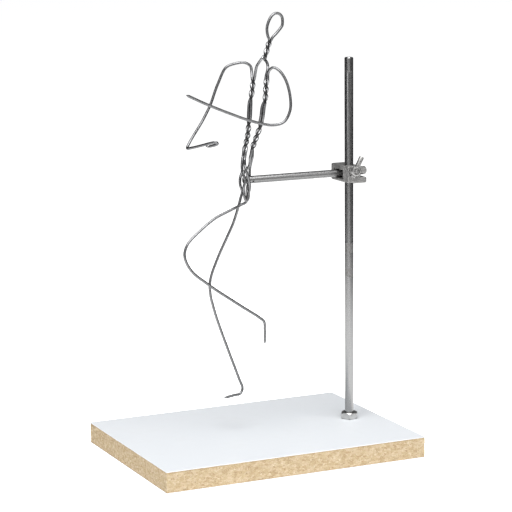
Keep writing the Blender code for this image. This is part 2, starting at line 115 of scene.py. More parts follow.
class Finish:
    # a material, with short ways to the nodes that the finishes below share
    def __init__(self, name, **constants):
        self.material = bpy.data.materials.new(name)
        self.material.use_nodes = True
        self.shader = self.material.node_tree.nodes["Principled BSDF"]
        self.start = Signal(self.material.node_tree)
        self.add, self.maths = self.start.add, self.start.maths
        for socket, value in constants.items():
            self.shader.inputs[socket.replace("_", " ")].default_value = value
        self.place = self.add("ShaderNodeTexCoord", output="Object")

    def drive(self, socket, value):
        self.start.feed(self.shader.inputs[socket], value)

    def edges(self):
        return self.add("ShaderNodeNewGeometry", output="Pointiness")

    def stretched(self, scale, place=None):
        return self.add("ShaderNodeMapping", None, {"Vector": place or self.place, "Scale": scale})

    def clouds(self, scale, detail=3.0, roughness=0.5, place=None):
        inputs = {"Vector": place or self.place, "Scale": scale, "Detail": detail, "Roughness": roughness}
        return self.add("ShaderNodeTexNoise", None, inputs)

    def cells(self, scale, place=None, output="Distance", feature="F1"):
        inputs = {"Vector": place or self.place, "Scale": scale}
        return self.add("ShaderNodeTexVoronoi", {"feature": feature}, inputs, output)

    def ramp(self, value, stops):
        made = self.add("ShaderNodeValToRGB", None, {"Fac": value})
        elements = made.socket.node.color_ramp.elements
        for position, colour in stops[1:-1]:
            elements.new(position)
        for element, (position, colour) in zip(elements, stops):
            element.position = position
            element.color = (*colour, 1.0)
        return made

    def vector(self, operation, first, others=None, output=0):
        return self.add("ShaderNodeVectorMath", {"operation": operation}, {0: first, **(others or {})}, output)

    def between(self, value, low, high):
        # 0 below low and 1 above high
        inputs = {"Value": value, "From Min": low, "From Max": high}
        return self.add("ShaderNodeMapRange", {"clamp": True}, inputs)

    def mix(self, factor, first, second):
        first, second = (part if isinstance(part, Signal) else (*part, 1.0) for part in (first, second))
        return self.add("ShaderNodeMix", {"data_type": "RGBA"}, {0: factor, 6: first, 7: second}, 2)

    def axis(self, name, place=None):
        return self.add("ShaderNodeSeparateXYZ", None, {"Vector": place or self.place}, name)

    def done(self, colour, roughness, height, bump, relief):
        self.drive("Base Color", colour)
        self.drive("Roughness", roughness)
        inputs = {"Height": height, "Strength": bump, "Distance": relief}
        self.drive("Normal", self.add("ShaderNodeBump", None, inputs))
        return self.material


# finishes
# A share says how much of a tone shows, and an edge is the pair of values that a mask rises between.
chipLook = {
    "stops": [(0.0, (0.19, 0.115, 0.055)), (0.16, (0.37, 0.25, 0.135)), (0.42, (0.50, 0.395, 0.235)),
              (0.66, (0.545, 0.425, 0.285)), (0.86, (0.63, 0.545, 0.37)), (1.0, (0.69, 0.65, 0.50))],
    "roughness": 0.85, "coarse": 330, "fine": 900, "dust": 1900.0, "pores": 420.0,
    "warpScale": 260.0, "warp": 0.0022, "flatten": (1.0, 1.0, 1.7),
    "coarseShare": 0.46, "fineShare": 0.34, "dustShare": 0.30, "darker": 0.04,
    "facingBandTone": (0.34, 0.23, 0.12), "facingBandShare": 0.42, "topFacingBand": (2.6 * mm, 1.0 * mm),
    "lowFacingBand": (0.8 * mm, 2.2 * mm), "gap": (0.20, 0.115, 0.055), "crackEdge": (0.0, 0.05),
    "crackShare": 0.35, "poreEdge": (0.66, 0.74), "poreShare": 0.6, "bump": 0.55, "relief": 0.5 * mm,
}


def chipboardFinish():
    look = chipLook
    finish = Finish("rawChipboard")
    drift = finish.add("ShaderNodeTexNoise", None,
                             {"Vector": finish.place, "Scale": look["warpScale"], "Detail": 2.0}, "Color")
    warp = finish.vector("SCALE", drift, {"Scale": look["warp"]})
    flakes = finish.stretched(look["flatten"], finish.vector("ADD", finish.place, {1: warp}))
    coarse = finish.cells(look["coarse"], flakes, "Color")
    coarseTone = finish.add("ShaderNodeSeparateColor", None, {"Color": coarse}, "Red")
    fine = finish.cells(look["fine"], flakes, "Color")
    fineTone = finish.add("ShaderNodeSeparateColor", None, {"Color": fine}, "Green")
    dust = finish.clouds(look["dust"], 2.0)
    tone = (coarseTone * look["coarseShare"] + fineTone * look["fineShare"] + dust * look["dustShare"]
            - look["darker"])
    colour = finish.ramp(tone, look["stops"])
    # darker in a band along the top and along the bottom of the core, next to the facings
    height = finish.axis("Z")
    top = finish.between(height, *(boardSize.z - depth for depth in look["topFacingBand"]))
    low = 1 - finish.between(height, *look["lowFacingBand"])
    colour = finish.mix(finish.maths("MAXIMUM", top, low) * look["facingBandShare"], colour, look["facingBandTone"])
    gaps = finish.cells(look["coarse"], flakes, "Distance", "DISTANCE_TO_EDGE")
    crack = 1 - finish.between(gaps, *look["crackEdge"])
    pore = finish.between(finish.clouds(look["pores"], 1.0), *look["poreEdge"])
    dark = finish.maths("MAXIMUM", crack * look["crackShare"], pore * look["poreShare"])
    colour = finish.mix(dark, colour, look["gap"])
    height = coarseTone * 0.6 + dust * 0.5 - dark
    return finish.done(colour, look["roughness"], height, look["bump"], look["relief"])


laminateLook = {
    "bright": (0.745, 0.766, 0.79), "dim": (0.727, 0.755, 0.785), "soiled": (0.70, 0.705, 0.70),
    "scratched": (0.62, 0.63, 0.64), "specular": 0.45, "patches": 9.0, "pebbles": 1400.0,
    "smudges": 30.0, "smudgeEdge": (0.54, 0.78), "smudgeShare": 0.22, "scratches": 120.0,
    "scratchStretch": (1.0, 14.0, 1.0), "scratchEdge": (0.69, 0.73), "scratchShare": 0.05,
    "roughness": 0.40, "bump": 0.05, "relief": 0.2 * mm,
}


def laminateFinish():
    look = laminateLook
    finish = Finish("whiteLaminate", Specular_IOR_Level=look["specular"])
    patches = finish.clouds(look["patches"], 4.0, 0.6)
    pebbles = finish.clouds(look["pebbles"], 2.0)
    smudge = finish.between(finish.clouds(look["smudges"], 5.0, 0.65), *look["smudgeEdge"])
    clean = finish.mix(patches, look["dim"], look["bright"])
    worn = finish.mix(smudge * look["smudgeShare"], clean, look["soiled"])
    lines = finish.clouds(look["scratches"], 3.0, 0.5, finish.stretched(look["scratchStretch"]))
    scratch = finish.between(lines, *look["scratchEdge"]) * look["scratchShare"]
    colour = finish.mix(scratch, worn, look["scratched"])
    roughness = look["roughness"] + smudge * 0.16 + patches * 0.06 - scratch
    return finish.done(colour, roughness, pebbles * 0.5 + patches, look["bump"], look["relief"])


steelLook = {
    "fineLines": (9.0, 2600.0), "broadLines": (16.0, 420.0), "fineShare": 0.16, "broadShare": 0.22,
    "middle": 0.19, "speckles": 1500.0, "speckleEdge": (0.62, 0.72), "speckleShare": 0.25,
    "bandFade": 1.5 * mm, "mottle": 520.0, "mottleEdge": (0.42, 0.62), "lineRoughness": 0.12,
    "bandRoughness": 0.22, "speckleRoughness": 0.1, "dirtAndGrooveShade": (0.14, 0.125, 0.11), "bump": 0.12,
    "relief": 0.08 * mm,
}


def drawnSteelFinish(name, axis, piece):
    # metal drawn through a die along one axis; the piece's marks are bands of handling wear, and where a band
    # sits on a shallow groove it is painted shade for that groove
    look = steelLook
    finish = Finish(name, Metallic=1.0)

    def drawn(along, across):
        return finish.stretched([along if part == axis else across for part in "XYZ"])

    lines = finish.clouds(1.0, 4.0, 0.6, drawn(*look["fineLines"]))
    broad = finish.clouds(1.0, 2.0, 0.5, drawn(*look["broadLines"]))
    speckle = finish.between(finish.clouds(look["speckles"], 3.0), *look["speckleEdge"])
    streaks = broad * look["broadShare"] + lines * look["fineShare"] - look["middle"]
    shade = streaks * piece["streaks"] + 1.0
    place = finish.axis(axis)
    wearAndGrooveShade = None
    for low, high, depth in piece["marks"]:
        rise = finish.between(place, low, low + look["bandFade"])
        fall = 1 - finish.between(place, high - look["bandFade"], high)
        band = rise * fall * depth
        wearAndGrooveShade = band if wearAndGrooveShade is None else wearAndGrooveShade + band
    dark = speckle * look["speckleShare"]
    roughness = piece["roughness"] + lines * look["lineRoughness"]
    if wearAndGrooveShade is None:
        roughness = roughness + speckle * look["speckleRoughness"]
    else:
        dark = dark + wearAndGrooveShade * finish.between(finish.clouds(look["mottle"], 4.0, 0.65), *look["mottleEdge"])
        roughness = roughness + wearAndGrooveShade * look["bandRoughness"]
    lit = finish.vector("SCALE", piece["tone"], {"Scale": shade})
    colour = finish.mix(dark, lit, look["dirtAndGrooveShade"])
    return finish.done(colour, roughness, lines, look["bump"] * piece["streaks"], look["relief"])


castLook = {
    "metal": 0.85, "grain": 1700.0, "patches": 190.0, "dim": (0.235, 0.232, 0.226),
    "bright": (0.38, 0.376, 0.37), "worn": (0.66, 0.655, 0.64), "wornEdge": (0.51, 0.56),
    "wornShare": 0.55, "grime": (0.15, 0.145, 0.14), "grimeEdge": (0.44, 0.495), "grimeShare": 0.5,
    "roughness": 0.50, "bump": 0.35, "relief": 0.12 * mm,
}


def castFinish():
    look = castLook
    finish = Finish("castZinc", Metallic=look["metal"])
    grain = finish.clouds(look["grain"], 3.0, 0.6)
    patches = finish.clouds(look["patches"], 3.0)
    edges = finish.edges()
    worn = finish.between(edges, *look["wornEdge"])
    grimy = 1 - finish.between(edges, *look["grimeEdge"])
    base = finish.mix(patches, look["dim"], look["bright"])
    base = finish.mix(worn * look["wornShare"], base, look["worn"])
    colour = finish.mix(grimy * look["grimeShare"], base, look["grime"])
    roughness = look["roughness"] + patches * 0.14 - worn * 0.14
    return finish.done(colour, roughness, grain + patches * 0.5, look["bump"], look["relief"])


platedLook = {
    "grain": 1300.0, "patches": 230.0, "dim": 0.72, "worn": (0.80, 0.79, 0.77),
    "wornEdge": (0.51, 0.58), "wornShare": 0.5, "bump": 0.12, "relief": 0.06 * mm,
}


def platedFinish(name, piece):
    look = platedLook
    finish = Finish(name, Metallic=1.0)
    grain = finish.clouds(look["grain"], 3.0)
    patches = finish.clouds(look["patches"], 4.0, 0.6)
    edges = finish.edges()
    worn = finish.between(edges, *look["wornEdge"])
    dim = [part * look["dim"] for part in piece["tone"]]
    plating = finish.mix(patches, dim, piece["tone"])
    colour = finish.mix(worn * look["wornShare"], plating, look["worn"])
    roughness = piece["roughness"] + patches * 0.16 - worn * 0.06
    return finish.done(colour, roughness, grain, look["bump"], look["relief"])


wireLook = {
    # the darkest tone is painted shade, with some dirt, between strands and at twist crossings; the palest is a
    # painted highlight on twisted strands lying side by side
    "bright": (0.38, 0.383, 0.39), "dull": (0.10, 0.10, 0.103), "grime": (0.055, 0.053, 0.05),
    "crevice": (0.016, 0.016, 0.016), "paintedHighlight": (0.70, 0.70, 0.71), "nick": (0.62, 0.62, 0.63),
    "lines": (2600.0, 2600.0, 40.0), "patches": (190.0, 190.0, 42.0), "nicks": (420.0, 420.0, 900.0),
    "nickEdge": (0.66, 0.70), "nickShare": 0.5, "grimeScale": 420.0, "grimeEdge": (0.56, 0.70),
    "grimeShare": 0.35, "crossingShadeEdge": (-0.1, 0.6), "crossingShadeShare": 0.85, "paintedHighlightEdge": (0.2, 1.0),
    "paintedHighlightShare": 0.4, "roughness": 0.26, "bump": 0.25, "relief": 0.1 * mm,
}


def wireFinish(length):
    # the wire's own map gives the way round it and along it, so the drawn lines follow every bend
    look = wireLook
    finish = Finish("drawnWire", Metallic=1.0)
    sheet = finish.add("ShaderNodeTexCoord", output="UV")
    turn = finish.axis("X", sheet) * (2 * pi)
    run = finish.axis("Y", sheet) * length
    radius = wire["diameter"] / 2
    across = {"X": finish.maths("COSINE", turn) * radius, "Y": finish.maths("SINE", turn) * radius}
    wound = finish.add("ShaderNodeCombineXYZ", None, {**across, "Z": run})
    lines = finish.clouds(1.0, 4.0, 0.6, finish.stretched(look["lines"], wound))
    patches = finish.clouds(1.0, 3.0, 0.6, finish.stretched(look["patches"], wound))
    nicks = finish.clouds(1.0, 2.0, 0.5, finish.stretched(look["nicks"], wound))
    nicks = finish.between(nicks, *look["nickEdge"])
    grime = finish.between(finish.clouds(look["grimeScale"], 3.0), *look["grimeEdge"]) * look["grimeShare"]
    tone = finish.mix(patches, look["dull"], look["bright"])
    tone = finish.mix(grime, tone, look["grime"])
    tone = finish.mix(nicks * look["nickShare"], tone, look["nick"])
    # where two strands lie together the colour darkens: some dirt, and painted shade for the little light that
    # gets in there
    near = finish.add("ShaderNodeAttribute", {"attribute_name": "crevice"}, output="Fac")
    crossingShade = finish.add("ShaderNodeAttribute", {"attribute_name": "crossingShade"}, output="Fac")
    # along a twisted pair: painted shade where the strands cross, a painted highlight where they lie side by
    # side
    crossingShadeMask = finish.between(crossingShade, *look["crossingShadeEdge"]) * look["crossingShadeShare"]
    paintedHighlight = finish.between(crossingShade * -1.0, *look["paintedHighlightEdge"]) * look["paintedHighlightShare"]
    tone = finish.mix(paintedHighlight, finish.mix(crossingShadeMask, tone, look["crevice"]), look["paintedHighlight"])
    colour = finish.mix(near, tone, look["crevice"])
    roughness = look["roughness"] + lines * 0.14 + grime * 0.3 + near * 0.3
    return finish.done(colour, roughness, lines * 0.4 - nicks, look["bump"], look["relief"])


# modelling helpers
def activate(piece):
    bpy.ops.object.select_all(action="DESELECT")
    piece.select_set(True)
    bpy.context.view_layer.objects.active = piece


def named(name):
    piece = bpy.context.active_object
    piece.name = name
    return piece


def settle(piece):
    activate(piece)
    bpy.ops.object.transform_apply(location=True, rotation=True, scale=True)
    return piece


def openEdit(kind="FACE"):
    # edit mode with everything selected
    bpy.ops.object.mode_set(mode="EDIT")
    bpy.ops.mesh.select_mode(type=kind)
    bpy.ops.mesh.select_all(action="SELECT")


def closeEdit():
    # back to object mode with every face turned outward
    bpy.ops.mesh.select_all(action="SELECT")
    bpy.ops.mesh.normals_make_consistent(inside=False)
    bpy.ops.object.mode_set(mode="OBJECT")


def editFaces(piece, chosen):
    # opens the piece in edit mode with the faces that pass the test selected
    activate(piece)
    openEdit()
    bpy.ops.mesh.select_all(action="DESELECT")
    bpy.ops.object.mode_set(mode="OBJECT")
    for face in piece.data.polygons:
        face.select = chosen(face)
    bpy.ops.object.mode_set(mode="EDIT")


def extrude(x, y, z):
    bpy.ops.mesh.extrude_region_move(TRANSFORM_OT_translate={"value": (x, y, z)})


def applyModifiers(piece):
    activate(piece)
    for modifier in list(piece.modifiers):
        bpy.ops.object.modifier_apply(modifier=modifier.name)


def soften(piece, width, segments=2, angle=30):
    modifier = piece.modifiers.new("softEdges", "BEVEL")
    modifier.width = width
    modifier.segments = segments
    modifier.limit_method = "ANGLE"
    modifier.angle_limit = radians(angle)
    applyModifiers(piece)


def smooth(piece, angle=30):
    activate(piece)
    bpy.ops.object.shade_smooth_by_angle(angle=radians(angle))


def combine(piece, tool, operation="DIFFERENCE"):
    modifier = piece.modifiers.new("combined", "BOOLEAN")
    modifier.operation = operation
    modifier.solver = "EXACT"
    modifier.object = tool
    applyModifiers(piece)
    bpy.data.objects.remove(tool, do_unlink=True)


def block(name, low, high):
    low, high = Vector(low), Vector(high)
    bpy.ops.mesh.primitive_cube_add(size=1, location=(low + high) / 2, scale=high - low)
    return settle(named(name))


def rodOf(name, radius, start, end, sides=48):
    start, end = Vector(start), Vector(end)
    span = end - start
    bpy.ops.mesh.primitive_cylinder_add(vertices=sides, radius=radius, depth=span.length,
                                        location=(start + end) / 2,
                                        rotation=span.to_track_quat("Z", "Y").to_euler())
    return settle(named(name))


def turnedUp(name, stations, start, direction, sides=64):
    # a disc is extruded and scaled from station to station, each a radius and a distance along
    radius, along = stations[0]
    bpy.ops.mesh.primitive_circle_add(vertices=sides, radius=radius, fill_type="NGON", location=(0, 0, along))
    piece = settle(named(name))
    openEdit()
    for nextRadius, nextAlong in stations[1:]:
        extrude(0, 0, nextAlong - along)
        ratio = nextRadius / radius
        bpy.ops.transform.resize(value=(ratio, ratio, 1), center_override=(0, 0, nextAlong))
        radius, along = nextRadius, nextAlong
    closeEdit()
    piece.location = start
    piece.rotation_euler = Vector(direction).to_track_quat("Z", "Y").to_euler()
    return settle(piece)


def stepsFrom(radius, length, steps):
    # stations given in millimetres as how far in from the radius and how far short of the end
    return [(radius - inset * mm, length - short * mm) for inset, short in steps]


def dress(piece, material, body, slot, *nodes):
    piece.data.materials.clear()
    piece.data.materials.append(material)
    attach(piece, body)
    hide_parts(*nodes)


# board
boardSize = boxMiddle("base_board")[1]
rodMiddle, rodSize = boxMiddle("upright_rod")
nutMiddle, nutSize = boxMiddle("foot_nut")
board = {
    **millimetres(facing=0.8, inset=0.25, cell=0.95, weld=0.05, edgeBand=0.1, chipDepth=0.30, pitDepth=0.9,
        facingInset=0.27, nibbleDepth=0.35, nibbleBand=0.2, softEdge=0.12, socketRadius=5.05,
        socketDepth=15.3),
    "chipScale": 420, "chipLength": 1.8, "pitScale": 260, "pitEdge": 0.42, "pitGain": 3, "nibbles": 140,
    "nibbleScale": 900, "nibbleEdge": 0.15, "nibbleGain": 2,
}


def rodSocket(piece):
    foot = (rodMiddle.x, rodMiddle.y, boardSize.z - board["socketDepth"])
    tool = rodOf("socketTool", board["socketRadius"], foot, (rodMiddle.x, rodMiddle.y, boardSize.z + 5 * mm))
    combine(piece, tool)


def outwardSign(value):
    return 1 if value > 0 else -1


def boardCore(material):
    half = Vector((boardSize.x / 2 - board["inset"], boardSize.y / 2 - board["inset"], 0))
    height = boardSize.z - 2 * board["facing"]
    rows = round(height / board["cell"])
    walls = []
    for side, (length, reach) in enumerate([(half.x * 2, half.y), (half.y * 2, half.x)] * 2):
        columns = round(length / board["cell"])
        bpy.ops.mesh.primitive_grid_add(x_subdivisions=columns, y_subdivisions=rows, size=1)
        wall = bpy.context.active_object
        turn = Matrix.Rotation(side * pi / 2, 4, "Z") @ Matrix.Translation((0, -reach, boardSize.z / 2))
        wall.matrix_world = turn @ Matrix.Rotation(pi / 2, 4, "X") @ Matrix.Diagonal((length, height, 1, 1))
        walls.append(settle(wall))
    for wall in walls:
        wall.select_set(True)
    bpy.context.view_layer.objects.active = walls[0]
    bpy.ops.object.join()
    core = named("boardCore")
    openEdit()
    bpy.ops.mesh.remove_doubles(threshold=board["weld"])
    bpy.ops.mesh.fill_holes(sides=0)
    closeEdit()
    middle = boardSize.z / 2
    for vertex in core.data.vertices:
        place = vertex.co
        if abs(place.z - middle) > height / 2 - board["edgeBand"]:
            continue
        spot = Vector((place.x, place.y, place.z * board["chipLength"])) * board["chipScale"]
        chips = (noise.cell(spot) + 1) / 2 * board["chipDepth"]
        pit = max(0.0, noise.noise(place * board["pitScale"]) - board["pitEdge"])
        depth = chips + min(pit * board["pitGain"] * board["pitDepth"], board["pitDepth"])
        onFront = abs(abs(place.y) - half.y) < board["edgeBand"]
        onEnd = abs(abs(place.x) - half.x) < board["edgeBand"]
        place.y -= depth * outwardSign(place.y) * onFront
        place.x -= depth * outwardSign(place.x) * onEnd
    rodSocket(core)
    dress(core, material, "stand", "board", "base_board")


def boardFacing(name, low, high, material):
    bpy.ops.mesh.primitive_plane_add(size=1, location=(0, 0, low))
    facing = named(name)
    facing.scale = (boardSize.x - board["facingInset"], boardSize.y - board["facingInset"], 1)
    settle(facing)
    openEdit("EDGE")
    bpy.ops.mesh.delete(type="ONLY_FACE")
    bpy.ops.mesh.select_all(action="SELECT")
    bpy.ops.mesh.subdivide(number_cuts=board["nibbles"])
    bpy.ops.object.mode_set(mode="OBJECT")
    for vertex in facing.data.vertices:   # saw chips along the cut edges
        place = vertex.co
        rough = noise.noise(Vector((place.x, place.y, low)) * board["nibbleScale"])
        bite = max(0.0, rough - board["nibbleEdge"]) * board["nibbleDepth"] * board["nibbleGain"]
        place.x -= bite * outwardSign(place.x) * (abs(place.x) > boardSize.x / 2 - board["nibbleBand"])
        place.y -= bite * outwardSign(place.y) * (abs(place.y) > boardSize.y / 2 - board["nibbleBand"])
    openEdit("EDGE")
    bpy.ops.mesh.edge_face_add()
    extrude(0, 0, high - low)
    closeEdit()
    soften(facing, board["softEdge"], 1, 60)
    if high > boardSize.z / 2:
        rodSocket(facing)
    dress(facing, material, "stand", "board", "base_board")


# upright rod and its nut
rod = {
    **millimetres(chamfer=0.8, ringHeight=407.2, ringDepth=0.03, ringWidth=0.9, tipRound=0.05),
    "tone": (0.34, 0.34, 0.34), "roughness": 0.17, "streaks": 0.35,
    # bands of handling wear, except the last, round the ring, which is painted shade for the shallow groove
    "marks": [(209 * mm, 221 * mm, 0.6), (182 * mm, 193 * mm, 0.6), (193 * mm, 209 * mm, 0.2),
              (406.2 * mm, 409.5 * mm, 0.45)],
}
nut = {
    **millimetres(acrossFlats=17, bore=5.05, mouth=6.2, mouthDepth=0.9, cornerRoom=0.4, footInset=0.2,
        footRise=1.2, topInset=0.5, topFall=1.7, softEdge=0.18),
    "turn": radians(-25), "tone": (0.42, 0.42, 0.42), "roughness": 0.30,
}


def uprightRod(material):
    radius = rodSize.x / 2
    foot, length = rodMiddle.z - rodSize.z / 2, rodSize.z
    ring = rod["ringHeight"] - foot
    groove, width, chamfer = radius - rod["ringDepth"], rod["ringWidth"], rod["chamfer"]
    stations = [(radius - chamfer, 0), (radius, chamfer), (radius, ring - width), (groove, ring - width * 0.6),
                (groove, ring + width * 0.6), (radius, ring + width), (radius, length - chamfer),
                (radius - chamfer * 0.9, length - rod["tipRound"]), (radius - chamfer * 1.2, length)]
    piece = turnedUp("uprightRod", stations, (rodMiddle.x, rodMiddle.y, foot), (0, 0, 1), 96)
    smooth(piece, 25)
    dress(piece, material, "column", "rod", "upright_rod")


def footNut(material):
    flat = nut["acrossFlats"] / 2
    corner = flat / cos(pi / 6)
    foot = (nutMiddle.x, nutMiddle.y, nutMiddle.z - nutSize.z / 2)
    bpy.ops.mesh.primitive_cylinder_add(vertices=6, radius=corner, depth=nutSize.z, location=nutMiddle,
                                        rotation=(0, 0, nut["turn"]))
    piece = settle(named("footNut"))
    widest = corner + nut["cornerRoom"]
    stations = [(flat - nut["footInset"], 0), (widest, nut["footRise"]), (widest, nutSize.z - nut["topFall"]),
                (flat - nut["topInset"], nutSize.z)]
    combine(piece, turnedUp("nutRounder", stations, foot, (0, 0, 1), 96), "INTERSECT")
    stations = [(nut["bore"], -1 * mm), (nut["bore"], nutSize.z - nut["mouthDepth"]),
                (nut["mouth"], nutSize.z + 0.2 * mm)]
    combine(piece, turnedUp("nutBore", stations, foot, (0, 0, 1)))
    soften(piece, nut["softEdge"], 2, 25)
    smooth(piece, 28)
    dress(piece, material, "stand", "nut", "foot_nut")


# clamp
barMiddle, barSize = boxMiddle("support_bar")
clampLow, clampHigh = boxCorners("clamp_body")
clamp = {
    **millimetres(half=9, above=10, below=8, rounding=1.3, bore=5.05, windowHalf=4.9, veeApex=8.35,
        windowEnd=19.3, lugReach=7.2, lugDepth=14, lugHeight=6.5, bossRadius=4.5, bossInset=1.5,
        bossShort=0.5, bossEdge=0.9, padRadius=4.3, padHeight=2, screwHole=2.8, screwRise=5, narrow=6.55,
        stepEnd=4.15, flareWall=6.7, flareHalf=5.3, overlap=0.3, voxel=0.33),
    "veeFlat": 0.02, "bossDish": (2.6 * mm, 2.3 * mm, 0.8 * mm), "flareAngle": radians(25), "skinPasses": 5,
}
cutterReach = 40 * mm
clampCentre = Vector((rodMiddle.x, rodMiddle.y, barMiddle.z))
clampFront = clampLow.y - clampCentre.y
clampBack = clampHigh.y - clampCentre.y


def fromClamp(x, y, z):
    return clampCentre + Vector((x, y, z))


def planPrism(name, corners, halfHeight):
    # an outline in plan, extruded up and down from the clamp's centre
    bpy.ops.mesh.primitive_circle_add(vertices=len(corners), radius=1, fill_type="NGON", location=(0, 0, 0))
    piece = named(name)
    for vertex, (x, y) in zip(piece.data.vertices, corners):
        vertex.co = fromClamp(x, y, -halfHeight)
    openEdit()
    extrude(0, 0, halfHeight * 2)
    closeEdit()
    return piece


def clampBlock():
    # the block with its lug, the boss and the raised pads round the screw holes
    half = clamp["half"]
    body = block("clampCasting", fromClamp(-half, clampFront, -clamp["below"]),
                 fromClamp(half, clampBack, clamp["above"]))
    soften(body, clamp["rounding"], 3)
    lug = block("lug", (clampCentre.x, clampLow.y, clampLow.z),
                (clampCentre.x + half + clamp["lugReach"], clampLow.y + clamp["lugDepth"],
                 clampLow.z + clamp["lugHeight"]))
    soften(lug, clamp["rounding"], 3)
    combine(body, lug, "UNION")
    radius, edge = clamp["bossRadius"], clamp["bossEdge"]
    reach = clampHigh.x - clampCentre.x - clamp["bossShort"]
    dish, dishFloor, dishDepth = clamp["bossDish"]
    stations = [(radius, 0), (radius, reach - edge), (radius - edge, reach), (dish, reach),
                (dishFloor, reach - dishDepth)]
    start = fromClamp(0, clampFront + radius + clamp["bossInset"], clamp["above"] - radius - clamp["bossInset"])
    combine(body, turnedUp("boss", stations, start, (1, 0, 0), 48), "UNION")
    height = clamp["padHeight"]
    for along, side, rise in ((clampFront, -1, clamp["screwRise"]), (clampBack, 1, 0)):
        pad = turnedUp("pad", [(clamp["padRadius"], 0), (clamp["padRadius"], height)],
                       fromClamp(0, along - side * height, rise), (0, side, 0), 40)
        combine(body, pad, "UNION")
    return body


def clampCasting(material):
    body = clampBlock()
    far, half = cutterReach, clamp["windowHalf"]
    combine(body, rodOf("bore", clamp["bore"], fromClamp(0, 0, -30 * mm), fromClamp(0, 0, 30 * mm), 72))
    veeEnd = clamp["veeApex"] + half / sqrt(3)
    window = block("window", fromClamp(-far, veeEnd, -half), fromClamp(far, clamp["windowEnd"], half))
    editFaces(window, lambda face: face.normal.y < -0.9)
    extrude(0, clamp["veeApex"] - veeEnd, 0)
    bpy.ops.transform.resize(value=(1, 1, clamp["veeFlat"]),
                             center_override=tuple(fromClamp(0, clamp["veeApex"], 0)))
    bpy.ops.object.mode_set(mode="OBJECT")
    combine(body, window)
    # the front is narrower on the figure's side, and the jaws open there in front of the bar
    narrow = -clamp["narrow"]
    step = [(-far, -far), (narrow, -far), (narrow, -clamp["bore"]),
            (-clamp["half"] - clamp["overlap"], clamp["stepEnd"]), (-far, clamp["stepEnd"])]
    combine(body, planPrism("step", step, 30 * mm))
    slope = Vector((sin(clamp["flareAngle"]), cos(clamp["flareAngle"])))
    start = Vector((-slope.y, slope.x)) * clamp["flareWall"]
    inner = start + slope * ((veeEnd + clamp["overlap"] - start.y) / slope.y)
    outer = start - slope * 25 * mm
    flare = [outer, inner, (-50 * mm, inner.y), (-50 * mm, outer.y)]
    combine(body, planPrism("flare", flare, clamp["flareHalf"]))
    rise = clamp["screwRise"]
    for height, first, last in ((rise, clampFront - 5 * mm, -2 * mm),
                                (0, clamp["windowEnd"] - 4 * mm, clampBack + 5 * mm)):
        start, end = fromClamp(0, first, height), fromClamp(0, last, height)
        combine(body, rodOf("hole", clamp["screwHole"], start, end, 40))
    activate(body)
    body.data.remesh_voxel_size = clamp["voxel"]
    body.data.remesh_voxel_adaptivity = 0
    bpy.ops.object.voxel_remesh()
    relax = body.modifiers.new("castSkin", "SMOOTH")
    relax.factor = 0.5
    relax.iterations = clamp["skinPasses"]
    applyModifiers(body)
    smooth(body, 180)
    dress(body, material, "clamp", "clamp", "clamp_body")


# clamp screws
# The tip, hub and head are profiles in millimetres, as stepsFrom reads them.
screw = {
    **millimetres(shank=2.5, pitch=0.8, threadDepth=0.32, tipInset=0.7, tipLength=0.5, threadStart=0.7,
        undercut=0.1, hubLength=6.8, headLength=4.2, slotDepth=1.6, slotHalf=0.7),
    "hubFoot": [(0.9, 0), (0, -0.7)], "hubFace": [(0, 0.9), (0.25, 0.3), (0.8, 0), (1.5, 0), (1.9, 1.0)],
    "hubCentre": [(-1.9, 1.0), (-1.6, 0.4), (-0.7, 0.2)], "headEdge": [(0, 0.8), (0.3, 0.3), (0.9, 0)],
    "tone": (0.32, 0.317, 0.312), "roughness": 0.40,
}
handle = {
    **millimetres(radius=2.7, length=24.5, above=17, room=0.1, neck=0.1, neckBelow=4.6, neckAbove=5.6,
        neckEnd=6),
    "lean": radians(28), "foot": [(0.7, 0), (0.15, -0.3), (0, -0.8)],
    "tip": [(0, 0.8), (0.15, 0.3), (0.7, 0)],
}
handleLean = Vector((sin(handle["lean"]), 0, cos(handle["lean"])))


def threadStations(length, radius):
    # rings that rise and fall as a thread does when it is seen from the side
    root, pitch = radius - screw["threadDepth"], screw["pitch"]
    stations = [(radius - screw["tipInset"], 0), (root, screw["tipLength"])]
    along = screw["threadStart"]
    while along + pitch < length:
        stations += [(radius, along + pitch * 0.45), (root, along + pitch)]
        along += pitch
    return stations + [(radius, length - screw["undercut"])]


def rodScrew(material):
    low, high = boxCorners("rod_screw")
    centreX, centreZ = (low.x + high.x) / 2, (low.z + high.z) / 2
    length, hub = high.y - low.y, (high.x - low.x) / 2
    hubStart = length - screw["hubLength"]
    stations = (threadStations(hubStart, screw["shank"]) + stepsFrom(hub, hubStart, screw["hubFoot"])
                + stepsFrom(hub, length, screw["hubFace"]) + stepsFrom(0, length, screw["hubCentre"]))
    piece = turnedUp("rodScrewHub", stations, (centreX, high.y, centreZ), (0, -1, 0), 64)
    centre = Vector((centreX, low.y + screw["hubLength"] / 2, centreZ))
    combine(piece, rodOf("crossHole", handle["radius"] + handle["room"], centre - handleLean * 12 * mm,
                         centre + handleLean * 12 * mm))
    smooth(piece, 30)
    dress(piece, material, "rod_clamping_screw", "rod_screw", "rod_screw")


def screwHandle(material):
    low, high = boxCorners("rod_screw")
    length, radius = handle["length"], handle["radius"]
    below, neck = length - handle["above"], radius - handle["neck"]
    centre = Vector(((low.x + high.x) / 2, low.y + screw["hubLength"] / 2, (low.z + high.z) / 2))
    waist = [(neck, below - handle["neckBelow"]), (neck, below + handle["neckAbove"]),
             (radius, below + handle["neckEnd"])]
    stations = stepsFrom(radius, 0, handle["foot"]) + waist + stepsFrom(radius, length, handle["tip"])
    piece = turnedUp("rodScrewHandle", stations, centre - handleLean * below, handleLean, 48)
    smooth(piece, 40)
    dress(piece, material, "rod_clamping_screw", "rod_screw", "rod_screw_handle")


